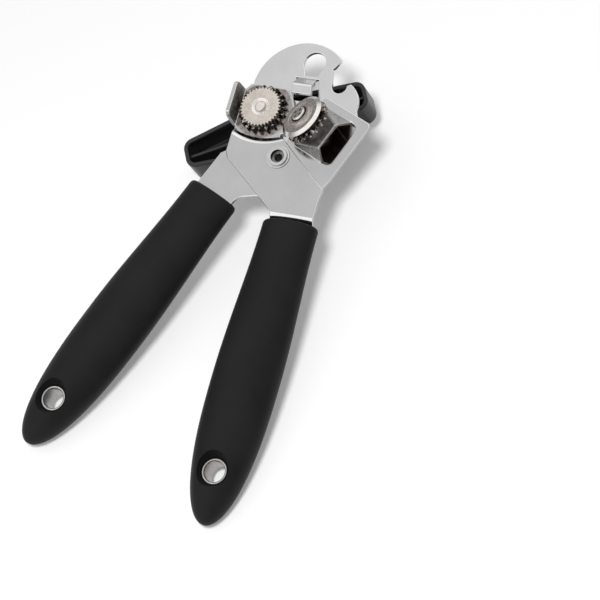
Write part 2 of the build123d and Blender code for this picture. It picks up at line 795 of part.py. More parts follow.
def make_grip(lever, grip_x, tang_low):
    """Rounded grip along a lever, with a slot for its tang and a dished hang hole."""
    shares = [grip_belly_share * step_up / 4 for step_up in range(4)]
    for angle in (0, 15, 30, 45, 60, 74, 86):
        shares.append(grip_belly_share + (1 - grip_belly_share) * sin(radians(angle)))
    # Each section is a share of the length and how far it lies inside the plain size;
    # the first few turn the rounded edge of the mouth
    mouth_share = grip_mouth_round / grip_length
    sections = [(mouth_share * (1 - cos(radians(turn))), 1 - sin(radians(turn))) for turn in (0, 30, 60)]
    sections += [(max(share, mouth_share), 0) for share in shares]
    with BuildPart() as grip:
        for share, inset in sections:
            half_width = grip_size(share, grip_mouth_half_width, grip_belly_half_width, grip_width_fullness)
            half_height = grip_size(
                share,
                grip_mouth_half_height,
                grip_belly_half_height,
                grip_height_fullness,
            )
            middle = lever.from_local_coords((grip_x, grip_mouth_y - share * grip_length, 0))
            with BuildSketch(Plane(origin=middle, x_dir=lever.x_dir, z_dir=lever.y_dir * -1)):
                Ellipse(half_width - inset * grip_mouth_round, half_height - inset * grip_mouth_round)
        loft(ruled=True)
        with BuildSketch(lever.offset(tang_low - tang_gap)):
            with Locations((grip_x, (grip_mouth_y + tang_end_y) / 2)):
                Rectangle(
                    2 * tang_half_width + 2 * tang_gap,
                    grip_mouth_y - tang_end_y + 2 * tang_gap,
                )
            with Locations((grip_x, shoulder_y)):
                Rectangle(2 * shoulder_half_width + 2 * tang_gap, 2 * shoulder_slope + 0.6)
            with Locations((grip_x, grip_mouth_y)):
                Rectangle(2 * shoulder_half_width + 2 * tang_gap, 2 * shoulder_slope)
        extrude(amount=plate + 2 * tang_gap, mode=Mode.SUBTRACT)
        hole = seat_at(lever, grip_x, -hang_hole_reach)
        with BuildSketch(hole):
            Circle(eyelet_outer_r + eyelet_hole_gap)
        extrude(amount=20, both=True, mode=Mode.SUBTRACT)
        dish_floor = eyelet_half_length - eyelet_flange_t
        dish_r = eyelet_flange_r + dish_gap
        with BuildSketch(section_of(hole)):
            for side in (-1, 1):
                Polygon(
                    (0, side * dish_floor),
                    (dish_r, side * dish_floor),
                    (dish_r + dish_spread, side * (dish_floor + dish_rise)),
                    (0, side * (dish_floor + dish_rise)),
                    align=None,
                )
        revolve(axis=axis_of(hole), mode=Mode.SUBTRACT)
    return grip


def make_eyelet(lever, grip_x):
    """Tube with a rolled flange at each end, set in a grip's hang hole."""
    hole = seat_at(lever, grip_x, -hang_hole_reach)
    flange_low = eyelet_half_length - eyelet_flange_t
    with BuildPart() as eyelet:
        with BuildSketch(section_of(hole)):
            Polygon(
                (eyelet_bore_r, -eyelet_half_length),
                (eyelet_flange_r - 0.3, -eyelet_half_length),
                (eyelet_flange_r, -eyelet_half_length + 0.3),
                (eyelet_flange_r, -flange_low),
                (eyelet_outer_r, -flange_low),
                (eyelet_outer_r, flange_low),
                (eyelet_flange_r, flange_low),
                (eyelet_flange_r, eyelet_half_length - 0.3),
                (eyelet_flange_r - 0.3, eyelet_half_length),
                (eyelet_bore_r, eyelet_half_length),
                align=None,
            )
        revolve(axis=axis_of(hole))
    return eyelet


right_grip = make_grip(drive_side, drive_grip_x, floor_bottom)
left_grip = make_grip(cutter_side, cutter_grip_x, -middle_top)
right_eyelet = make_eyelet(drive_side, drive_grip_x)
left_eyelet = make_eyelet(cutter_side, cutter_grip_x)

# ================================================================ files
pieces = {
    "drive_lever_plate": drive_lever_plate,
    "head_plate": head_plate,
    "cutter_lever_plate": cutter_lever_plate,
    "pivot_rivet": pivot_rivet,
    "pivot_washers": pivot_washers,
    "drive_wheel": drive_wheel,
    "drive_gear": drive_gear,
    "drive_shaft": drive_shaft,
    "drive_bushing": drive_bushing,
    "drive_thrust_washer": drive_thrust_washer,
    "key_spring_washer": key_spring_washer,
    "turning_key": turning_key,
    "key_insert": key_insert,
    "key_washer": key_washer,
    "cutter_wheel": cutter_wheel,
    "cutter_gear": cutter_gear,
    "cutter_axle": cutter_axle,
    "cutter_spacer": cutter_spacer,
    "cutter_backing_washer": cutter_backing_washer,
    "right_grip": right_grip,
    "left_grip": left_grip,
    "right_eyelet": right_eyelet,
    "left_eyelet": left_eyelet,
}

for name, piece in pieces.items():
    piece.part.label = name
    export_step(piece.part, f"parts/{name}.step")
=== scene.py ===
import json
from math import cos, pi, radians, sin, sqrt

import bmesh
import bpy
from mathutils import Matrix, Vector


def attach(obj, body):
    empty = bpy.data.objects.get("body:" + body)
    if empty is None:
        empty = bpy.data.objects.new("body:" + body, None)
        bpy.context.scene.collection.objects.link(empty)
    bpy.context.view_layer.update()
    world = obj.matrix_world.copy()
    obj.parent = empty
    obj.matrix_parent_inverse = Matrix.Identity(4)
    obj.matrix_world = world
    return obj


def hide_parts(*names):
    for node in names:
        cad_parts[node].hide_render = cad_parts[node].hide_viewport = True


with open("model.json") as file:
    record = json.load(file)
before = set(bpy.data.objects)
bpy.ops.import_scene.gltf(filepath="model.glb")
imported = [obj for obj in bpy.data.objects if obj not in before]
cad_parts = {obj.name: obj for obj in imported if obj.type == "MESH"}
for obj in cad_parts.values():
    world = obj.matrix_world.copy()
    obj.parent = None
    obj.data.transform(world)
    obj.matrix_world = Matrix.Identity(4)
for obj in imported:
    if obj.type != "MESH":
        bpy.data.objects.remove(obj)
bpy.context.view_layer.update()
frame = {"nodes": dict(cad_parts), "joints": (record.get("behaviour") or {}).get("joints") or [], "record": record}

mm = 0.001
print("frame loaded:", len(frame["nodes"]), "parts of the opener")


# where things are, in the same frame as the parts
def jointCalled(name):
    return next(j for j in frame["joints"] if j["name"] == name)


def jointPlace(name):
    return Vector(jointCalled(name)["pos_m"])


def holePlace(name):
    hole = next(m for m in frame["record"]["mounts"] if m["name"] == name)
    return Vector(hole["pos_m"])


pivotPlace = jointPlace("handle_hinge")
drivePlace = jointPlace("drive_spin")
cutterPlace = jointPlace("cutter_spin")
cutterAxis = Vector(jointCalled("cutter_spin")["axis"]).normalized()
rightHole = holePlace("right_hang_hole")
leftHole = holePlace("left_hang_hole")
straightUp = Vector((0, 0, 1))
leverTurn = {"drive": 11.2, "cutter": -11.2}      # how far each lever leans from +Y, degrees
shelfSlope = 30                                   # how steeply the cutter's shelf rises, degrees
keyTurn = 39.7                                    # the key's long way from +X, degrees


def leverSides(lever):
    turn = radians(leverTurn[lever])
    return Vector((cos(turn), sin(turn), 0)), Vector((-sin(turn), cos(turn), 0))


def onLever(lever, x, y, z):
    # a point given beside the pivot, in millimetres, along one lever
    across, along = leverSides(lever)
    return pivotPlace + (across * x + along * y + straightUp * z) * mm


def beside(point, lever):
    # where a point lies beside the pivot along one lever, in millimetres
    across, along = leverSides(lever)
    away = point - pivotPlace
    return away.dot(across) / mm, away.dot(along) / mm, away.z / mm


def roundAxis(point, place, axis):
    # how far a point is from an axis, and how far up along it, in millimetres
    away = point - place
    height = away.dot(axis) / mm
    return (away - axis * height * mm).length / mm, height


def within(value, limits):
    return limits[0] < value < limits[1]


# small helpers for working by hand
flatEnough = 0.6                                  # faces that turn by less, in degrees, become one
samePoint = 0.003                                 # points nearer than this, in millimetres, become one
broadFace = {"area": 60, "level": 0.999}          # square millimetres, and the normal's share upwards


def pick(obj):
    bpy.ops.object.select_all(action="DESELECT")
    obj.select_set(True)
    bpy.context.view_layer.objects.active = obj


def editing(obj):
    pick(obj)
    bpy.ops.object.mode_set(mode="EDIT")
    bpy.ops.mesh.select_mode(type="VERT")
    bpy.ops.mesh.select_all(action="DESELECT")


def done():
    bpy.ops.object.mode_set(mode="OBJECT")


def settle(obj, name):
    # everything into the mesh, so the object itself sits at the origin
    pick(obj)
    bpy.ops.object.transform_apply(location=True, rotation=True, scale=True)
    obj.name = name
    obj.data.name = name


def applyAll(obj):
    pick(obj)
    for modifier in list(obj.modifiers):
        bpy.ops.object.modifier_apply(modifier=modifier.name)


def softenNormals(obj, angle=35):
    pick(obj)
    bpy.ops.object.shade_smooth_by_angle(angle=radians(angle))
    weighted = obj.modifiers.new("evenFaces", "WEIGHTED_NORMAL")
    weighted.weight = 60
    weighted.keep_sharp = True
    applyAll(obj)


def copyOfNode(node, name, join=samePoint):
    # the part's own mesh as a new piece, with its loose triangles and nearest points joined up
    piece = bpy.data.objects.new(name, frame["nodes"][node].data.copy())
    bpy.context.scene.collection.objects.link(piece)
    piece.data.name = name
    piece.data.materials.clear()
    pick(piece)
    bpy.ops.mesh.customdata_custom_splitnormals_clear()
    bpy.ops.object.mode_set(mode="EDIT")
    bpy.ops.mesh.select_all(action="SELECT")
    bpy.ops.mesh.remove_doubles(threshold=join * mm)
    bpy.ops.mesh.dissolve_limited(angle_limit=radians(flatEnough), use_dissolve_boundaries=False)
    done()
    return piece


def levelFaces(obj):
    # the broad level faces of a sheet are made truly flat again after a bevel
    for face in obj.data.polygons:
        if face.area > broadFace["area"] * mm * mm and abs(face.normal.z) > broadFace["level"]:
            heights = sorted(obj.data.vertices[i].co.z for i in face.vertices)
            for i in face.vertices:
                obj.data.vertices[i].co.z = heights[len(heights) // 2]


def roundEdges(obj, radius, turns, segments, where, finish=-1):
    # bevels the edges that are wanted and whose faces turn by an angle in the range, in degrees
    editing(obj)
    bpy.ops.mesh.select_mode(type="EDGE")
    mesh = bmesh.from_edit_mesh(obj.data)
    chosen = 0
    for edge in mesh.edges:
        if len(edge.link_faces) != 2:
            continue
        turn = edge.calc_face_angle(0) * 180 / pi
        middle = (edge.verts[0].co + edge.verts[1].co) / 2
        if turns[0] <= turn <= turns[1] and where(edge, middle):
            edge.select_set(True)
            chosen += 1
    bmesh.update_edit_mesh(obj.data)
    if chosen:
        bpy.ops.mesh.bevel(offset_type="OFFSET", offset=radius * mm, segments=segments, profile=0.5,
                           affect="EDGES", clamp_overlap=False, loop_slide=False, material=finish)
    done()
    return chosen


def rollEdges(obj, width, segments=3, angle=30, edgeSlot=None):
    # a fine bevel on every edge that is still sharp; its faces may take their own finish
    bevel = obj.modifiers.new("rolledEdges", "BEVEL")
    bevel.width = width * mm
    bevel.segments = segments
    bevel.limit_method = "ANGLE"
    bevel.angle_limit = radians(angle)
    bevel.use_clamp_overlap = False
    bevel.loop_slide = False
    if edgeSlot is not None:
        bevel.material = edgeSlot
    applyAll(obj)


def turned(name, outline, foot, axis, steps=72):
    # outline is a list of (radius, height) in millimetres from the foot, closed and spun round the axis
    side = axis.orthogonal().normalized()
    points = [foot + (side * radius + axis * height) * mm for radius, height in outline]
    bpy.ops.object.select_all(action="DESELECT")
    bpy.ops.mesh.primitive_plane_add(size=0.5 * mm, location=points[0])
    piece = bpy.context.object
    settle(piece, name)
    bpy.ops.object.mode_set(mode="EDIT")
    bpy.ops.mesh.select_mode(type="VERT")
    bpy.ops.mesh.select_all(action="SELECT")
    bpy.ops.mesh.merge(type="CENTER")
    for here, there in zip(points, points[1:]):
        bpy.ops.mesh.extrude_vertices_move(TRANSFORM_OT_translate={"value": there - here})
    mesh = bmesh.from_edit_mesh(piece.data)
    for vert in mesh.verts:
        vert.select_set(len(vert.link_edges) == 1)
    bmesh.update_edit_mesh(piece.data)
    bpy.ops.mesh.edge_face_add()
    bpy.ops.mesh.select_all(action="SELECT")
    bpy.ops.mesh.spin(steps=steps, angle=2 * pi, center=foot, axis=axis)
    bpy.ops.mesh.select_all(action="SELECT")
    bpy.ops.mesh.remove_doubles(threshold=samePoint * mm)
    bpy.ops.mesh.normals_make_consistent(inside=False)
    done()
    return piece


def mirrored(half):
    # the upper half of an outline, then the same again below
    return half + [(radius, -height) for radius, height in reversed(half)]


def cutAway(obj, tool):
    cut = obj.modifiers.new("cut", "BOOLEAN")
    cut.operation = "DIFFERENCE"
    cut.solver = "EXACT"
    cut.object = tool
    applyAll(obj)
    bpy.data.objects.remove(tool)


def finishPiece(piece, body, node, slotName, *materials):
    if materials:
        piece.data.materials.clear()
        for material in materials:
            piece.data.materials.append(material)
    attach(piece, body)
    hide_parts(node)


class Finish:
    # keeps the nodes of one material tidy while it is built
    def __init__(self, name, base, metallic, roughness):
        self.material = bpy.data.materials.new(name)
        self.material.use_nodes = True
        self.tree = self.material.node_tree
        self.shader = self.tree.nodes["Principled BSDF"]
        self.shader.inputs["Base Color"].default_value = (*base, 1)
        self.shader.inputs["Metallic"].default_value = metallic
        self.shader.inputs["Roughness"].default_value = roughness
        self.coords = self.tree.nodes.new("ShaderNodeTexCoord").outputs["Object"]

    def link(self, source, target):
        self.tree.links.new(source, target)

    def mapped(self, scale=(1, 1, 1), turn=(0, 0, 0), place=(0, 0, 0)):
        mapping = self.tree.nodes.new("ShaderNodeMapping")
        mapping.vector_type = "TEXTURE"
        mapping.inputs["Location"].default_value = place
        mapping.inputs["Rotation"].default_value = [radians(a) for a in turn]
        mapping.inputs["Scale"].default_value = scale
        self.link(self.coords, mapping.inputs["Vector"])
        return mapping.outputs["Vector"]

    def noise(self, vector, scale, detail=3, roughness=0.55):
        noise = self.tree.nodes.new("ShaderNodeTexNoise")
        noise.inputs["Scale"].default_value = scale
        noise.inputs["Detail"].default_value = detail
        noise.inputs["Roughness"].default_value = roughness
        self.link(vector, noise.inputs["Vector"])
        return noise.outputs["Fac"]

    def rings(self, vector, scale, distortion=0.6):
        wave = self.tree.nodes.new("ShaderNodeTexWave")
        wave.wave_type = "RINGS"
        wave.rings_direction = "Z"
        wave.inputs["Scale"].default_value = scale
        wave.inputs["Distortion"].default_value = distortion
        wave.inputs["Detail"].default_value = 3
        wave.inputs["Detail Scale"].default_value = 2
        self.link(vector, wave.inputs["Vector"])
        return wave.outputs["Fac"]

    def span(self, source, low, high, fromLow=0.3, fromHigh=0.7):
        span = self.tree.nodes.new("ShaderNodeMapRange")
        span.inputs["From Min"].default_value = fromLow
        span.inputs["From Max"].default_value = fromHigh
        span.inputs["To Min"].default_value = low
        span.inputs["To Max"].default_value = high
        self.link(source, span.inputs["Value"])
        return span.outputs["Result"]

    def smooth(self, source, fromLow, fromHigh, low, high):
        value = self.span(source, low, high, fromLow, fromHigh)
        value.node.interpolation_type = "SMOOTHSTEP"
        return value

    def ramp(self, source, stops):
        ramp = self.tree.nodes.new("ShaderNodeValToRGB")
        line = ramp.color_ramp
        while len(line.elements) < len(stops):
            line.elements.new(0.5)
        for element, (place, colour) in zip(line.elements, stops):
            element.position = place
            element.color = (*colour, 1)
        self.link(source, ramp.inputs["Fac"])
        return ramp.outputs["Color"]

    def blend(self, amount, first, second):
        mix = self.tree.nodes.new("ShaderNodeMix")
        mix.data_type = "RGBA"
        self.link(amount, mix.inputs[0])
        self.link(first, mix.inputs[6])
        self.link(second, mix.inputs[7])
        return mix.outputs[2]

    def plain(self, colour):
        value = self.tree.nodes.new("ShaderNodeRGB")
        value.outputs[0].default_value = (*colour, 1)
        return value.outputs[0]

    def both(self, first, second, how="MULTIPLY"):
        maths = self.tree.nodes.new("ShaderNodeMath")
        maths.operation = how
        self.link(first, maths.inputs[0])
        self.link(second, maths.inputs[1])
        return maths.outputs[0]

    def power(self, source, exponent):
        absolute = self.tree.nodes.new("ShaderNodeMath")
        absolute.operation = "ABSOLUTE"
        maths = self.tree.nodes.new("ShaderNodeMath")
        maths.operation = "POWER"
        maths.inputs[1].default_value = exponent
        self.link(source, absolute.inputs[0])
        self.link(absolute.outputs[0], maths.inputs[0])
        return maths.outputs[0]

    def paintedShadeRing(self, centre, rings, levels, stretch=1.0, turn=0.0, patch=0.4):
        # the mask of painted shade: 1 between two radii round an upright axis and between two heights, all in
        # millimetres
        fadeIn, fadeLevel, patchScale = 1.5 * mm, 0.3 * mm, 420
        flat = self.mapped((1, stretch, 1), (0, 0, turn), centre)
        parts = self.tree.nodes.new("ShaderNodeSeparateXYZ")
        self.link(flat, parts.inputs[0])
        across = self.both(self.power(parts.outputs[0], 2), self.power(parts.outputs[1], 2), "ADD")
        reach = self.power(across, 0.5)
        inner, outer, edge = (value * mm for value in rings)
        low, high = (value * mm for value in levels)
        ring = self.both(self.smooth(reach, inner, inner + fadeIn, 0, 1),
                         self.smooth(reach, outer, edge, 1, 0))
        above = self.smooth(parts.outputs[2], low - fadeLevel, low, 0, 1)
        below = self.smooth(parts.outputs[2], high, high + fadeLevel, 1, 0)
        patches = self.span(self.noise(flat, patchScale, 3), 1 - patch, 1.0, 0.4, 0.6)
        return self.both(self.both(ring, self.both(above, below)), patches)

    def colour(self, source):
        self.link(source, self.shader.inputs["Base Color"])

    def rough(self, source):
        self.link(source, self.shader.inputs["Roughness"])

    def bump(self, source, distance, strength=0.5, under=None):
        bump = self.tree.nodes.new("ShaderNodeBump")
        bump.inputs["Strength"].default_value = strength
        bump.inputs["Distance"].default_value = distance * mm
        self.link(source, bump.inputs["Height"])
        if under is not None:
            self.link(under, bump.inputs["Normal"])
        self.link(bump.outputs["Normal"], self.shader.inputs["Normal"])
        return bump.outputs["Normal"]


paintedShadeTone = (0.20, 0.165, 0.15)                  # the colour of painted shade on plated steel, in the tone of thin old oil


def leverPlating(name, turn, tone, paintedShade=None):
    # bright plated sheet: a faint rolled grain along the lever, soft clouds and hairline scratches, and where
    # given, a patch of painted shade
    look = {"light": 0.56 * tone, "dark": 0.50 * tone, "shine": (0.10, 0.16), "grain": 900, "scratch": 240,
            "clouds": 55, "grainStretch": 14, "scratchStretch": 30, "scratchTurn": 63}
    finish = Finish(name, (look["light"],) * 3, 1.0, 0.2)
    grainSpace = finish.mapped((1, look["grainStretch"], 1), (0, 0, turn))
    grain = finish.noise(grainSpace, look["grain"], detail=4)
    clouds = finish.noise(finish.mapped(), look["clouds"])
    hairSpace = finish.mapped((1, look["scratchStretch"], 1), (0, 0, turn + look["scratchTurn"]))
    hairs = finish.noise(hairSpace, look["scratch"], detail=2)
    dark, light = look["dark"], look["light"]
    tones = finish.ramp(clouds, [(0.3, (dark, dark, dark * 1.005)), (0.7, (light, light, light * 0.995))])
    # a ring of painted shade darkens the plating here
    if paintedShade is not None:
        tones = finish.blend(finish.paintedShadeRing(**paintedShade), tones, finish.plain(paintedShadeTone))
    finish.colour(tones)
    scratched = finish.span(hairs, low=1.0, high=1.5, fromLow=0.66, fromHigh=0.74)
    finish.rough(finish.both(finish.span(clouds, *look["shine"]), scratched))
    first = finish.bump(grain, distance=0.004, strength=0.25)
    finish.bump(hairs, distance=0.006, strength=0.12, under=first)
    return finish.material


def highlightedEdge(name, base, shine):
    # the rolled rim of a stamped sheet, painted brighter than its faces as a painted highlight
    finish = Finish(name, (base,) * 3, 1.0, shine)
    marks = finish.noise(finish.mapped((1, 1, 6)), scale=800)
    low = base * 0.93
    finish.colour(finish.ramp(marks, [(0.35, (low, low, low)), (0.65, (base, base, base * 0.99))]))
    finish.rough(finish.span(marks, shine * 0.8, shine * 1.3))
    finish.bump(marks, distance=0.006, strength=0.2)
    return finish.material


def turnedSteel(name, place, turn, dark, light, shine, ringScale, speckle, grain=0.2):
    # lathe-turned steel: rings round its own axis, with a fine speckle over them
    finish = Finish(name, light, 1.0, shine)
    lathe = finish.rings(finish.mapped((1, 1, 1), turn, place), ringScale)
    dots = finish.noise(finish.mapped(), speckle, detail=4, roughness=0.7)
    clouds = finish.noise(finish.mapped(), scale=260)
    fromDots = finish.span(dots, low=0.0, high=0.75, fromLow=0.25, fromHigh=0.75)
    mixed = finish.both(fromDots, finish.span(clouds, low=0.0, high=0.25), "ADD")
    finish.colour(finish.ramp(mixed, [(0.25, dark), (0.75, light)]))
    finish.rough(finish.span(dots, shine * 0.8, shine * 1.3))
    first = finish.bump(lathe, distance=0.006, strength=grain)
    finish.bump(dots, distance=0.01, strength=0.25, under=first)
    return finish.material


def speckledSteel(name, dark, light, shine, speckle, share):
    # dark and bright speckle, share is where one gives way to the other; on the shaded faces the dark is painted
    # shade, on the gears the bright spots are painted glints
    finish = Finish(name, dark, 1.0, shine)
    spots = finish.noise(finish.mapped(), speckle, detail=5, roughness=0.65)
    film = finish.noise(finish.mapped(), speckle * 0.35)
    fromSpots = finish.span(spots, low=0.0, high=0.6, fromLow=0.3, fromHigh=0.75)
    mixed = finish.both(fromSpots, finish.span(film, low=0.0, high=0.4), "ADD")
    finish.colour(finish.ramp(mixed, [(share[0], dark), (share[1], light)]))
    finish.rough(finish.span(film, shine * 0.7, shine * 1.4))
    finish.bump(spots, distance=0.03, strength=0.35)
    return finish.material


def softGrip(name):
    # moulded handle plastic, matte, with a very fine spark-eroded grain
    look = {"deep": (0.0060, 0.0060, 0.0064), "worn": (0.0100, 0.0098, 0.0100), "shine": (0.46, 0.56),
            "gloss": 0.23, "grain": 2600, "rubs": 60}
    finish = Finish(name, look["deep"], 0.0, 0.55)
    finish.shader.inputs["Specular IOR Level"].default_value = look["gloss"]
    skin = finish.noise(finish.mapped(), look["grain"], detail=2)
    rubs = finish.noise(finish.mapped(), look["rubs"], detail=4)
    finish.colour(finish.ramp(rubs, [(0.35, look["deep"]), (0.7, look["worn"])]))
    finish.rough(finish.span(rubs, *look["shine"]))
    finish.bump(skin, distance=0.03, strength=0.22)
    return finish.material


def keyPlastic(name):
    # harder moulded plastic with more shine and faint flow marks along the wings
    look = {"deep": (0.013, 0.0125, 0.013), "worn": (0.024, 0.023, 0.024), "shine": (0.26, 0.36),
            "gloss": 0.48, "flow": 240, "flowStretch": 6, "grain": 1500}
    finish = Finish(name, look["deep"], 0.0, 0.3)
    finish.shader.inputs["Specular IOR Level"].default_value = look["gloss"]
    flow = finish.noise(finish.mapped((look["flowStretch"], 1, 1), (0, 0, keyTurn)), look["flow"])
    skin = finish.noise(finish.mapped(), look["grain"], detail=2)
    finish.colour(finish.ramp(flow, [(0.35, look["deep"]), (0.7, look["worn"])]))
    finish.rough(finish.span(flow, *look["shine"]))
    finish.bump(skin, distance=0.03, strength=0.15)
    return finish.material


# painted shade round the drive gear, partly standing for oil there, and painted shade on the sheet that shows
# through the cutter lever's window
gearPaintedShade = {"centre": tuple(drivePlace), "rings": (8.0, 12.3, 13.2), "levels": (0.4, 2.0), "patch": 0.45}
windowPaintedShade = {"centre": tuple(onLever("cutter", 16.5, 18.6, 0)), "rings": (-3.0, 4.2, 7.2),
                "levels": (-1.4, 2.0), "stretch": 1.8, "turn": leverTurn["cutter"], "patch": 0.12}
drivePlating = leverPlating("drivePlating", leverTurn["drive"], 0.91, gearPaintedShade)
# the head plate's plating is painted lighter than the levers' (tone 1.12 against 0.91) as painted light
litHeadPlating = leverPlating("litHeadPlating", leverTurn["drive"], 1.12, windowPaintedShade)
cutterPlating = leverPlating("cutterPlating", leverTurn["cutter"], 0.91)
highlightRim = highlightedEdge("highlightRim", 0.93, 0.16)

upright = (0, 0, 0)
tilted = (0, -shelfSlope, leverTurn["cutter"])
turnedLooks = {
    "pressedSteel": {"place": (0, 0, 0), "turn": upright, "shine": 0.42, "ringScale": 90, "speckle": 700,
                     "dark": (0.44, 0.42, 0.40), "light": (0.80, 0.78, 0.76), "grain": 0.1},
    "feedSteel": {"place": drivePlace, "turn": upright, "shine": 0.42, "ringScale": 420, "speckle": 1500,
                  "dark": (0.57, 0.52, 0.465), "light": (0.83, 0.77, 0.70)},
    "dishHighlightSteel": {"place": drivePlace, "turn": upright, "shine": 0.22, "ringScale": 900, "speckle": 900,
                  "dark": (0.84, 0.80, 0.76), "light": (0.96, 0.93, 0.89)},
    "shaftSteel": {"place": drivePlace, "turn": upright, "shine": 0.34, "ringScale": 600, "speckle": 900,
                   "dark": (0.66, 0.62, 0.58), "light": (0.90, 0.86, 0.81)},
    "discSteel": {"place": cutterPlace, "turn": tilted, "shine": 0.3, "ringScale": 500, "speckle": 900,
                  "dark": (0.58, 0.525, 0.49), "light": (0.84, 0.77, 0.73), "grain": 0.35},
    "groundEdge": {"place": cutterPlace, "turn": tilted, "shine": 0.2, "ringScale": 900, "speckle": 700,
                   "dark": (0.84, 0.81, 0.78), "light": (0.97, 0.95, 0.92)},
    "axleSteel": {"place": cutterPlace, "turn": tilted, "shine": 0.24, "ringScale": 600, "speckle": 900,
                  "dark": (0.66, 0.62, 0.59), "light": (0.94, 0.90, 0.87)},
    "rivetSteel": {"place": pivotPlace, "turn": upright, "shine": 0.2, "ringScale": 700, "speckle": 900,
                   "dark": (0.50, 0.50, 0.50), "light": (0.66, 0.66, 0.65)},
    # the eyelets' steel as a lit and a shaded copy: the right ring is painted darker than the left as painted
    # shade
    "rightRingShaded": {"place": rightHole, "turn": upright, "shine": 0.2, "ringScale": 800, "speckle": 900,
                  "dark": (0.42, 0.39, 0.38), "light": (0.58, 0.55, 0.54)},
    "leftRingLit": {"place": leftHole, "turn": upright, "shine": 0.2, "ringScale": 800, "speckle": 900,
                 "dark": (0.46, 0.44, 0.43), "light": (0.62, 0.60, 0.59)},
}
speckledLooks = {
    "shadedSteel": {"dark": (0.060, 0.049, 0.044), "light": (0.23, 0.195, 0.175),
                    "shine": 0.38, "speckle": 300, "share": (0.4, 0.9)},
    # painted shade for small pits and the ring round the axle's head
    "pitShade": {"dark": (0.030, 0.024, 0.022), "light": (0.20, 0.17, 0.15),
                     "shine": 0.4, "speckle": 900, "share": (0.5, 0.9)},
    # the gears' bright speckle is painted glints, and the drive gear's near-black is partly painted shade
    "blackGearGlints": {"dark": (0.016, 0.014, 0.013), "light": (0.78, 0.73, 0.68),
                  "shine": 0.32, "speckle": 1300, "share": (0.46, 0.70)},
    "brownGearGlints": {"dark": (0.055, 0.040, 0.034), "light": (0.92, 0.86, 0.82),
                  "shine": 0.30, "speckle": 1300, "share": (0.42, 0.66)},
    "cupFloorShade": {"dark": (0.10, 0.10, 0.10), "light": (0.44, 0.44, 0.43),
                 "shine": 0.4, "speckle": 600, "share": (0.3, 0.8)},
    "innerSteel": {"dark": (0.30, 0.30, 0.30), "light": (0.52, 0.52, 0.51),
                   "shine": 0.3, "speckle": 400, "share": (0.3, 0.8)},
}
steel = {name: turnedSteel(name, **look) for name, look in turnedLooks.items()}
steel.update({name: speckledSteel(name, **look) for name, look in speckledLooks.items()})
gripPlastic = softGrip("gripPlastic")
blackKey = keyPlastic("blackKey")
print("materials made:", len(bpy.data.materials))

# the three stamped plates; topBend rounds the bends above topAbove, bend those below it; rims and top bends take
# the painted highlight
sheets = {
    "drive_lever_plate": {"name": "driveLever", "body": "drive_side", "lever": "drive",
                          "plating": drivePlating,
                          "bend": 0.5, "topBend": 1.0, "topAbove": 2.7, "edge": 0.30},
    "head_plate": {"name": "headPlate", "body": "drive_side", "lever": "drive",
                   "plating": litHeadPlating,
                   "bend": 0.5, "topBend": 0.9, "topAbove": 4.9, "edge": 0.30},
    "cutter_lever_plate": {"name": "cutterLever", "body": "cutter_side", "lever": "cutter",
                           "plating": cutterPlating,
                           "bend": 0.5, "topBend": 0.8, "topAbove": 1.2, "edge": 0.34},
}
sheetJoin = 0.16                                  # points nearer than this on a sheet become one
bendTurns = (24, 80)                              # a bend's faces turn by an angle between these
guideFold = -24.2                                 # the can guide stands left of this, beside the pivot
tongueFoot = {"along": 36.0, "under": 2}          # in here the tongue's crease stays sharp
shelfFoot = {"edge": -0.5, "along": (12, 30.2), "height": (-0.3, 0.3)}
squareOn = 0.97                                   # a face that looks straight along a direction
highlightFinish, shadeFinish, satinFinish = 1, 2, 3      # which finish of a sheet's four a face takes


def isBend(edge, middle, lever):
    # bends run across the sheet, never straight up through it, and not round the can guide
    run = (edge.verts[1].co - edge.verts[0].co).normalized()
    across, along, height = beside(middle, lever)
    if lever == "drive" and along > tongueFoot["along"] and height < tongueFoot["under"]:
        return False
    return abs(run.z) < 0.9 and across > guideFold


def makeFlush(piece, lever, foot):
    # the shelf's foot is brought level with the sheet's straight edge
    across = leverSides(lever)[0]
    for vert in piece.data.vertices:
        x, y, z = beside(vert.co, lever)
        if x < foot["edge"] and within(y, foot["along"]) and within(z, foot["height"]):
            vert.co += across * (foot["edge"] - x) * mm
    editing(piece)
    bpy.ops.mesh.select_all(action="SELECT")
    bpy.ops.mesh.remove_doubles(threshold=sheetJoin * mm)
    bpy.ops.mesh.dissolve_degenerate(threshold=0.02 * mm)
    bpy.ops.mesh.dissolve_limited(angle_limit=radians(flatEnough), use_dissolve_boundaries=False)
    done()


def makeSheet(node, look):
    piece = copyOfNode(node, look["name"], sheetJoin)
    lever = look["lever"]
    if lever == "cutter":
        makeFlush(piece, lever, shelfFoot)
    # the third finish, shadedSteel, is painted shade
    for material in (look["plating"], highlightRim, steel["shadedSteel"]):
        piece.data.materials.append(material)
    above = look["topAbove"] * mm

    def topBend(edge, middle):
        return middle.z > above and isBend(edge, middle, lever)

    def lowBend(edge, middle):
        return middle.z < above and isBend(edge, middle, lever)

    top = roundEdges(piece, look["topBend"], bendTurns, 6, topBend, finish=highlightFinish)
    low = roundEdges(piece, look["bend"], bendTurns, 4, lowBend)
    rollEdges(piece, look["edge"], 4, 40, edgeSlot=highlightFinish)
    levelFaces(piece)
    softenNormals(piece)
    finishPiece(piece, look["body"], node, "lever_steel")
    print("sheet", piece.name, "bend edges", top + low, "faces", len(piece.data.polygons))
    return piece


shelfLook = {"above": 1.0, "end": 0.9, "side": 0.6}
seamLook = {"across": (guideFold, -2.0), "along": (-25, -0.5), "above": 1.1, "lean": (-squareOn, -0.15)}
guideLook = {"above": 0.9, "lean": 0.6}


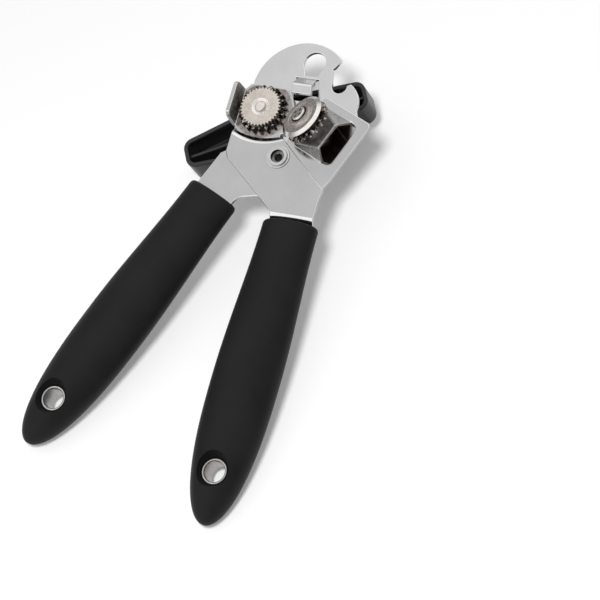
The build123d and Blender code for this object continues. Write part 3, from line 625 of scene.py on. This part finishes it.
def dressShelf(piece, look):
    # the raised shelf: its underside is painted dark as painted shade, its pressed ends and sides are satin
    across, along = leverSides("cutter")
    down = across * sin(radians(shelfSlope)) - straightUp * cos(radians(shelfSlope))
    piece.data.materials.append(steel["pressedSteel"])
    for face in piece.data.polygons:
        raised = beside(face.center, "cutter")[2] > look["above"]
        end = face.normal.dot(across) > look["end"] or abs(face.normal.dot(along)) > look["side"]
        if face.normal.dot(down) > squareOn:
            face.material_index = shadeFinish
        elif raised and (end or face.normal.dot(down) < -squareOn):
            face.material_index = satinFinish


def dressDrive(piece, seam, guide):
    # painted shade in the seam beside the other lever, and satin inside the can guide
    across = leverSides("drive")[0]
    piece.data.materials.append(steel["pressedSteel"])
    for face in piece.data.polygons:
        x, y, height = beside(face.center, "drive")
        lean = face.normal.dot(across)
        inSeam = within(x, seam["across"]) and within(y, seam["along"]) and height > seam["above"]
        if inSeam and within(lean, seam["lean"]):
            face.material_index = shadeFinish
        elif x < guideFold and y > 0 and height > guide["above"] and lean > guide["lean"]:
            face.material_index = satinFinish


plates = {node: makeSheet(node, look) for node, look in sheets.items()}
dressDrive(plates["drive_lever_plate"], seamLook, guideLook)
dressShelf(plates["cutter_lever_plate"], shelfLook)

# the hollow rivet and its two thin washers
pivotSizes = {"washer": 5.2, "bore": 3.45, "washerTop": 3.2, "washerFoot": 2.8, "washerRoll": 0.1,
              "head": 4.3, "headTop": 3.9, "shank": 3.4, "cup": 2.9, "cupFloor": 2.2, "hole": 1.7,
              "roll": 0.16, "cupEdge": 2.92, "cupBelow": 3.65, "floorFrom": 1.75}


def makeWashers(size):
    washers = []
    for side in (1, -1):
        ring = [(size["bore"], side * size["washerFoot"]), (size["washer"], side * size["washerFoot"]),
                (size["washer"], side * size["washerTop"]), (size["bore"], side * size["washerTop"])]
        washer = turned("pivotWasher", ring, pivotPlace, straightUp)
        rollEdges(washer, size["washerRoll"])
        washers.append(washer)
    pick(washers[0])
    washers[1].select_set(True)
    bpy.ops.object.join()
    softenNormals(washers[0])
    finishPiece(washers[0], "drive_side", "pivot_washers", "bearing_steel", steel["rivetSteel"])


def makeRivet(size):
    top, low = size["headTop"], size["washerTop"]
    outline = [(size["hole"], -top), (size["head"], -top), (size["head"], -low), (size["shank"], -low),
               (size["shank"], low), (size["head"], low), (size["head"], top), (size["cup"], top),
               (size["cup"], size["cupFloor"]), (size["hole"], size["cupFloor"])]
    rivet = turned("pivotRivet", outline, pivotPlace, straightUp)
    rollEdges(rivet, size["roll"], 4)
    softenNormals(rivet)
    finishPiece(rivet, "drive_side", "pivot_rivet", "bearing_steel",
                steel["rivetSteel"], steel["shadedSteel"], steel["cupFloorShade"])
    # inside the cup the wall takes painted shade and the floor a lighter painted shade
    for face in rivet.data.polygons:
        reach, height = roundAxis(face.center, pivotPlace, straightUp)
        if reach < size["cupEdge"] and height < size["cupBelow"]:
            onFloor = reach > size["floorFrom"] and face.normal.z > 0.5
            face.material_index = 2 if onFloor else 1


makeWashers(pivotSizes)
makeRivet(pivotSizes)
print("pivot made")

# gears and wheels: the parts' own teeth, with their edges broken
wheels = {
    "drive_wheel": {"name": "feedWheel", "body": "drive_train", "slotName": "feed_steel",
                    "finish": steel["feedSteel"], "edge": 0.09},
    "drive_gear": {"name": "driveGear", "body": "drive_train", "slotName": "bearing_steel",
                   "finish": steel["blackGearGlints"], "edge": 0.16},
    "cutter_gear": {"name": "cutterGear", "body": "cutter_unit", "slotName": "cutter_steel",
                    "finish": steel["brownGearGlints"], "edge": 0.16},
    "drive_shaft": {"name": "driveShaft", "body": "drive_train", "slotName": "bearing_steel",
                    "finish": steel["shaftSteel"], "edge": 0.12},
    "cutter_axle": {"name": "cutterAxle", "body": "cutter_side", "slotName": "bearing_steel",
                    "finish": steel["axleSteel"], "edge": 0.1},
    "key_insert": {"name": "keyInsert", "body": "drive_train", "slotName": "bearing_steel",
                   "finish": steel["innerSteel"], "edge": 0.12},
}
dishLook = {"reach": (2.7, 3.95), "slope": (0.3, squareOn)}
stakeLook = {"reach": 2.4, "height": (9.9, 10.65)}


def makeWheel(node, name, body, slotName, finish, edge):
    piece = copyOfNode(node, name)
    rollEdges(piece, edge, 2, 28)
    softenNormals(piece)
    finishPiece(piece, body, node, slotName, finish)
    print("wheel", piece.name, "faces", len(piece.data.polygons))
    return piece


def dressDish(piece, look):
    # the sloping wall of the shallow dish round the shaft's head is polished by the punch, and painted brighter as
    # a painted highlight
    piece.data.materials.append(steel["dishHighlightSteel"])
    for face in piece.data.polygons:
        reach = roundAxis(face.center, drivePlace, straightUp)[0]
        if within(reach, look["reach"]) and within(face.normal.z, look["slope"]):
            face.material_index = 1


def dressStakes(piece, look):
    # painted shade lies in the punch marks of the axle's head
    piece.data.materials.append(steel["pitShade"])
    for face in piece.data.polygons:
        reach, height = roundAxis(face.center, cutterPlace, cutterAxis)
        if reach < look["reach"] and within(height, look["height"]):
            face.material_index = 1


turning = {node: makeWheel(node, **look) for node, look in wheels.items()}
dressDish(turning["drive_wheel"], dishLook)
dressStakes(turning["cutter_axle"], stakeLook)

# the cutting disc, in heights along its own axis
cutterSizes = {"bore": 2.65, "low": 6.8, "back": 9.3, "rim": 10.4, "edge": 7.75, "land": 0.05,
               "face": 8.8, "top": 8.85, "groove": 6.5, "grooveWide": 0.3, "grooveDeep": 0.12,
               "boss": 5.4, "bossLean": 0.2, "bossTop": 9.65, "paintedShade": 4.0, "roll": 0.07,
               "groundFrom": 7.69, "slack": 0.02}


def makeCutter(size):
    edge, top, groove, bossTop = size["edge"], size["top"], size["groove"], size["bossTop"]
    wide, deep = size["grooveWide"], size["grooveDeep"]
    outline = [(size["bore"], size["low"]), (size["back"], size["low"]), (size["rim"], edge - size["land"]),
               (size["rim"], edge + size["land"]), (size["face"], top), (groove + wide, top),
               (groove + deep, top - deep), (groove - deep, top - deep), (groove - wide, top),
               (size["boss"], top), (size["boss"] - size["bossLean"], bossTop), (size["paintedShade"], bossTop),
               (size["bore"], bossTop)]
    disc = turned("cutterDisc", outline, cutterPlace, cutterAxis, 96)
    rollEdges(disc, size["roll"], 2, 24)
    softenNormals(disc, 25)
    finishPiece(disc, "cutter_unit", "cutter_wheel", "cutter_steel",
                steel["discSteel"], steel["groundEdge"], steel["pitShade"])
    # inside the boss, the disc's top round the axle's head takes painted shade
    for face in disc.data.polygons:
        reach, height = roundAxis(face.center, cutterPlace, cutterAxis)
        if reach > size["face"] - size["slack"] and height > size["groundFrom"]:
            face.material_index = 1
        elif reach < size["paintedShade"] and height > bossTop - size["slack"]:
            face.material_index = 2


makeCutter(cutterSizes)
print("cutter made")

# the turning key
keySizes = {"edge": 0.55, "segments": 4, "turn": 40}


def makeKey(size):
    key = copyOfNode("turning_key", "turningKey")
    rollEdges(key, size["edge"], size["segments"], size["turn"])
    softenNormals(key, size["turn"])
    finishPiece(key, "drive_train", "turning_key", "key_plastic", blackKey)


makeKey(keySizes)
print("key made")

# the two grips: half widths and half heights in pairs, and ring places as shares of the length
gripSizes = {"length": 130.5, "tip": 21.4, "mouth": (12.3, 6.9), "belly": (14.6, 9.3), "bellyShare": 0.52,
             "fullness": (2.5, 4.5), "mouthRound": 1.9, "mouthTurns": (0, 18, 36, 54, 72), "tipTurn": 88.2,
             "sides": 96, "rows": 22, "tipRows": 22}
hollowSizes = {"sheet": 1.9, "tang": 8.05, "tangEnd": -7.65, "shoulder": 9.85, "shoulderDeep": 3.5,
               "past": 1,                         # the tools reach past the mouth by this
               "dish": [(0, 10.3), (8.4, 10.3), (5.9, 4.55), (5.75, 4.3), (4.95, 4.3)]}
grips = {
    "right_grip": {"name": "rightGrip", "body": "drive_side", "lever": "drive", "hole": rightHole,
                   "tangMiddle": -0.1},
    "left_grip": {"name": "leftGrip", "body": "cutter_side", "lever": "cutter", "hole": leftHole,
                  "tangMiddle": 0.0},
}


def gripHalf(size, share, which):
    mouth, belly, at = size["mouth"][which], size["belly"][which], size["bellyShare"]
    if share < at:
        return mouth + (belly - mouth) * sin(pi / 2 * share / at) ** 2
    past = (share - at) / (1 - at)
    return belly * sqrt(max(0.0, 1 - past ** size["fullness"][which]))


def gripRows(size):
    # (share of the length, half width, half height) of each ring, mouth first
    rows = []
    mouthRound = size["mouthRound"]
    for turn in size["mouthTurns"]:
        share = mouthRound * (1 - cos(radians(turn))) / size["length"]
        inset = mouthRound * (1 - sin(radians(turn)))
        rows.append((share, gripHalf(size, share, 0) - inset, gripHalf(size, share, 1) - inset))
    first = mouthRound / size["length"]
    at = size["bellyShare"]
    shares = [first + (at - first) * i / size["rows"] for i in range(size["rows"])]
    tipRows, tipTurn = size["tipRows"], size["tipTurn"]
    shares += [at + (1 - at) * sin(radians(tipTurn * i / tipRows)) for i in range(tipRows + 1)]
    rows += [(share, gripHalf(size, share, 0), gripHalf(size, share, 1)) for share in shares]
    return rows


def makeGrip(name, lever, hole, size):
    # a ring drawn out row by row along the grip, then laid along its lever
    rows = gripRows(size)
    bpy.ops.object.select_all(action="DESELECT")
    bpy.ops.mesh.primitive_circle_add(vertices=size["sides"], radius=1 * mm, fill_type="NGON",
                                      location=(0, 0, 0), rotation=(radians(90), 0, 0))
    grip = bpy.context.object
    grip.scale = (rows[0][1], rows[0][2], 1)
    settle(grip, name)
    bpy.ops.object.mode_set(mode="EDIT")
    bpy.ops.mesh.select_mode(type="FACE")
    bpy.ops.mesh.select_all(action="SELECT")
    for before, after in zip(rows, rows[1:]):
        step = (after[0] - before[0]) * size["length"] * mm
        bpy.ops.mesh.extrude_region_move(TRANSFORM_OT_translate={"value": (0, -step, 0)})
        bpy.ops.transform.resize(value=(after[1] / before[1], 1, after[2] / before[2]),
                                 center_override=(0, -after[0] * size["length"] * mm, 0))
    bpy.ops.mesh.select_all(action="SELECT")
    bpy.ops.mesh.remove_doubles(threshold=samePoint * mm)
    bpy.ops.mesh.normals_make_consistent(inside=False)
    done()
    grip.rotation_euler = (0, 0, radians(leverTurn[lever]))
    grip.location = hole + leverSides(lever)[1] * (size["length"] - size["tip"]) * mm
    settle(grip, name)
    return grip


def hollowGrip(grip, lever, hole, tangMiddle, reach, size):
    # the slot for the tang, then the dished hang hole from both sides
    along = leverSides(lever)[1]
    mouth = reach + size["past"]
    for half, low in ((size["tang"], size["tangEnd"]), (size["shoulder"], reach - size["shoulderDeep"])):
        bpy.ops.object.select_all(action="DESELECT")
        bpy.ops.mesh.primitive_cube_add(size=1)
        slot = bpy.context.object
        slot.scale = (2 * half * mm, (mouth - low) * mm, size["sheet"] * mm)
        slot.rotation_euler = (0, 0, radians(leverTurn[lever]))
        slot.location = hole + along * (low + mouth) / 2 * mm + straightUp * tangMiddle * mm
        settle(slot, "slotTool")
        cutAway(grip, slot)
    cutAway(grip, turned("drill", mirrored(size["dish"]), hole, straightUp, 96))


for node, look in grips.items():
    grip = makeGrip(look["name"], look["lever"], look["hole"], gripSizes)
    reach = gripSizes["length"] - gripSizes["tip"]
    hollowGrip(grip, look["lever"], look["hole"], look["tangMiddle"], reach, hollowSizes)
    softenNormals(grip, 40)
    finishPiece(grip, look["body"], node, "grip_plastic", gripPlastic)
    print("grip", grip.name, "faces", len(grip.data.polygons))

# eyelets in the hang holes; their curled flange is given as steps in from its edges
eyeletSizes = {
    "bore": 4.4, "outer": 4.9, "flange": 5.6, "top": 5.0, "under": 4.3,
    "lip": [(0.12, 0), (0, 0.14), (0.03, 0.34)],                     # in from the flange, up from its foot
    "crown": [(0.16, 0.16), (0.42, 0.03), (0.62, 0)],                # in from the flange, down from its top
    "throat": [(0.34, 0.04), (0.14, 0.18), (0.03, 0.42), (0, 0.8)],  # out from the bore, down from its top
}


def makeEyelet(name, hole, node, body, finish, size):
    bore, flange, top, under = size["bore"], size["flange"], size["top"], size["under"]
    half = [(size["outer"], under)]
    half += [(flange - inward, under + up) for inward, up in size["lip"]]
    half += [(flange - inward, top - down) for inward, down in size["crown"]]
    half += [(bore + outward, top - down) for outward, down in size["throat"]]
    eyelet = turned(name, mirrored(half), hole, straightUp, 96)
    softenNormals(eyelet, 50)
    finishPiece(eyelet, body, node, "eyelet_steel", finish)


makeEyelet("rightEyelet", rightHole, "right_eyelet", "drive_side", steel["rightRingShaded"], eyeletSizes)
makeEyelet("leftEyelet", leftHole, "left_eyelet", "cutter_side", steel["leftRingLit"], eyeletSizes)
print("grips and eyelets made")

# the small inner parts keep their own shapes and get their finish
for node in ("drive_bushing", "drive_thrust_washer", "key_spring_washer", "key_washer", "cutter_spacer",
             "cutter_backing_washer"):
    mesh = frame["nodes"][node].data
    mesh.materials.clear()
    mesh.materials.append(steel["innerSteel"])
print("inner parts finished")

# floor, light and camera
floorLook = {"middle": (-0.03, 0.09, 0), "tilt": -9.8, "size": 3.0,
             "white": 0.84, "rough": 0.9, "gloss": 0.1, "lift": 0.2,
             "fade": (0.32, 0.62)}                # from here to here, in metres, it melts into white
lightLook = {"from": (0.205, -0.112, 1.004), "aim": (-0.03, 0.1, 0), "away": 1.1, "size": 0.24,
             "power": 8.6,
             "sky": 0.34, "skySide": (-0.8, 0.35, 0.45), "sideGain": 0.55, "skyEdges": (-0.6, 1.0),
             "shine": 1.0, "horizon": 0.42, "horizonEdges": (-0.05, 0.45),
             "darkSide": (-0.97, 0.2, -0.1), "darkShine": 0.44, "darkEdges": (0.45, 0.9),
             "dimSide": (0.9, -0.1, 0.4), "dimShine": 0.45, "dimEdges": (0.2, 0.85)}
cameraLook = {"place": (0.37476, -0.078978, 0.801906), "turn": (20.4376, 18.0364, 27.5815),
              "lens": 132.353, "sensor": 36, "near": 0.01, "far": 20}


def makeFloor(look):
    # the opener leans on its key and on the ends of its grips, so the floor is tilted under it
    turn = radians(look["tilt"])
    normal = Vector((0, -sin(turn), cos(turn)))
    lowest = min(v.co.dot(normal) for o in frame["nodes"].values() for v in o.data.vertices)
    middle = Vector(look["middle"])
    middle += normal * (lowest - middle.dot(normal))
    bpy.ops.object.select_all(action="DESELECT")
    bpy.ops.mesh.primitive_plane_add(size=look["size"], location=middle, rotation=(turn, 0, 0))
    floor = bpy.context.object
    settle(floor, "floor")
    floor.data.materials.append(floorMaterial(look, middle))


def floorMaterial(look, middle):
    material = bpy.data.materials.new("paleFloor")
    material.use_nodes = True
    tree = material.node_tree
    shader = tree.nodes["Principled BSDF"]
    shader.inputs["Base Color"].default_value = (look["white"],) * 3 + (1,)
    shader.inputs["Roughness"].default_value = look["rough"]
    shader.inputs["Specular IOR Level"].default_value = look["gloss"]
    # the camera sees the floor a little lighter than it lights the opener
    glow = tree.nodes.new("ShaderNodeEmission")
    glow.inputs["Strength"].default_value = look["lift"]
    lifted = tree.nodes.new("ShaderNodeAddShader")
    rays = tree.nodes.new("ShaderNodeLightPath")
    seen = tree.nodes.new("ShaderNodeMixShader")
    tree.links.new(shader.outputs[0], lifted.inputs[0])
    tree.links.new(glow.outputs[0], lifted.inputs[1])
    tree.links.new(rays.outputs["Is Camera Ray"], seen.inputs[0])
    tree.links.new(shader.outputs[0], seen.inputs[1])
    tree.links.new(lifted.outputs[0], seen.inputs[2])
    # far from the opener, and from below, the floor melts into the white background
    coords = tree.nodes.new("ShaderNodeTexCoord")
    reach = tree.nodes.new("ShaderNodeVectorMath")
    reach.operation = "DISTANCE"
    reach.inputs[1].default_value = middle
    fade = tree.nodes.new("ShaderNodeMapRange")
    fade.interpolation_type = "SMOOTHSTEP"
    fade.inputs["From Min"].default_value, fade.inputs["From Max"].default_value = look["fade"]
    under = tree.nodes.new("ShaderNodeNewGeometry")
    ends = tree.nodes.new("ShaderNodeMath")
    ends.operation = "MAXIMUM"
    clear = tree.nodes.new("ShaderNodeBsdfTransparent")
    through = tree.nodes.new("ShaderNodeMixShader")
    tree.links.new(coords.outputs["Object"], reach.inputs[0])
    tree.links.new(reach.outputs["Value"], fade.inputs["Value"])
    tree.links.new(fade.outputs["Result"], ends.inputs[0])
    tree.links.new(under.outputs["Backfacing"], ends.inputs[1])
    tree.links.new(ends.outputs[0], through.inputs[0])
    tree.links.new(seen.outputs[0], through.inputs[1])
    tree.links.new(clear.outputs[0], through.inputs[2])
    tree.links.new(through.outputs[0], tree.nodes["Material Output"].inputs["Surface"])
    return material


def makeLamp(look):
    towards = Vector(look["from"]).normalized()
    bpy.ops.object.light_add(type="AREA", location=Vector(look["aim"]) + towards * look["away"])
    lamp = bpy.context.object
    lamp.name = "softLamp"
    lamp.data.shape = "DISK"
    lamp.data.size = look["size"]
    lamp.data.energy = look["power"]
    lamp.visible_glossy = False
    lamp.rotation_mode = "QUATERNION"
    lamp.rotation_quaternion = towards.to_track_quat("Z", "Y")


def makeStudio(look):
    # a plain white studio whose light and reflections change softly from side to side
    world = bpy.data.worlds.new("studio")
    bpy.context.scene.world = world
    world.use_nodes = True
    tree = world.node_tree
    backdrop = tree.nodes["Background"]
    coords = tree.nodes.new("ShaderNodeTexCoord")
    rays = tree.nodes.new("ShaderNodeLightPath")

    def facing(direction, low, high, edges):
        dot = tree.nodes.new("ShaderNodeVectorMath")
        dot.operation = "DOT_PRODUCT"
        dot.inputs[1].default_value = Vector(direction).normalized()
        tree.links.new(coords.outputs["Generated"], dot.inputs[0])
        span = tree.nodes.new("ShaderNodeMapRange")
        span.interpolation_type = "SMOOTHSTEP"
        span.inputs["From Min"].default_value, span.inputs["From Max"].default_value = edges
        span.inputs["To Min"].default_value = low
        span.inputs["To Max"].default_value = high
        tree.links.new(dot.outputs["Value"], span.inputs["Value"])
        return span.outputs["Result"]

    def times(first, second):
        maths = tree.nodes.new("ShaderNodeMath")
        maths.operation = "MULTIPLY"
        tree.links.new(first, maths.inputs[0])
        tree.links.new(second, maths.inputs[1])
        return maths.outputs[0]

    def choose(flag, no, yes):
        mix = tree.nodes.new("ShaderNodeMix")
        tree.links.new(flag, mix.inputs[0])
        for socket, value in ((mix.inputs[2], no), (mix.inputs[3], yes)):
            if isinstance(value, float):
                socket.default_value = value
            else:
                tree.links.new(value, socket)
        return mix.outputs[0]

    dimmest, brightest = look["sky"] * (1 - look["sideGain"]), look["sky"] * (1 + look["sideGain"])
    sky = facing(look["skySide"], dimmest, brightest, look["skyEdges"])
    fromTop = facing((0, 0, 1), look["horizon"], look["shine"], look["horizonEdges"])
    darkSide = facing(look["darkSide"], 1.0, look["darkShine"], look["darkEdges"])
    dimSide = facing(look["dimSide"], 1.0, look["dimShine"], look["dimEdges"])
    strength = choose(rays.outputs["Is Glossy Ray"], sky, times(fromTop, times(darkSide, dimSide)))
    strength = choose(rays.outputs["Is Transmission Ray"], strength, 1.0)
    strength = choose(rays.outputs["Is Camera Ray"], strength, 1.0)
    backdrop.inputs["Color"].default_value = (1, 1, 1, 1)
    tree.links.new(strength, backdrop.inputs["Strength"])


def makeCamera(look):
    turn = [radians(a) for a in look["turn"]]
    bpy.ops.object.camera_add(location=look["place"], rotation=turn)
    camera = bpy.context.object
    camera.data.lens = look["lens"]
    camera.data.sensor_width = look["sensor"]
    camera.data.clip_start = look["near"]
    camera.data.clip_end = look["far"]
    bpy.context.scene.camera = camera


makeFloor(floorLook)
makeLamp(lightLook)
makeStudio(lightLook)
makeCamera(cameraLook)
bpy.context.scene.view_settings.view_transform = "Standard"
print("floor, light and camera set")
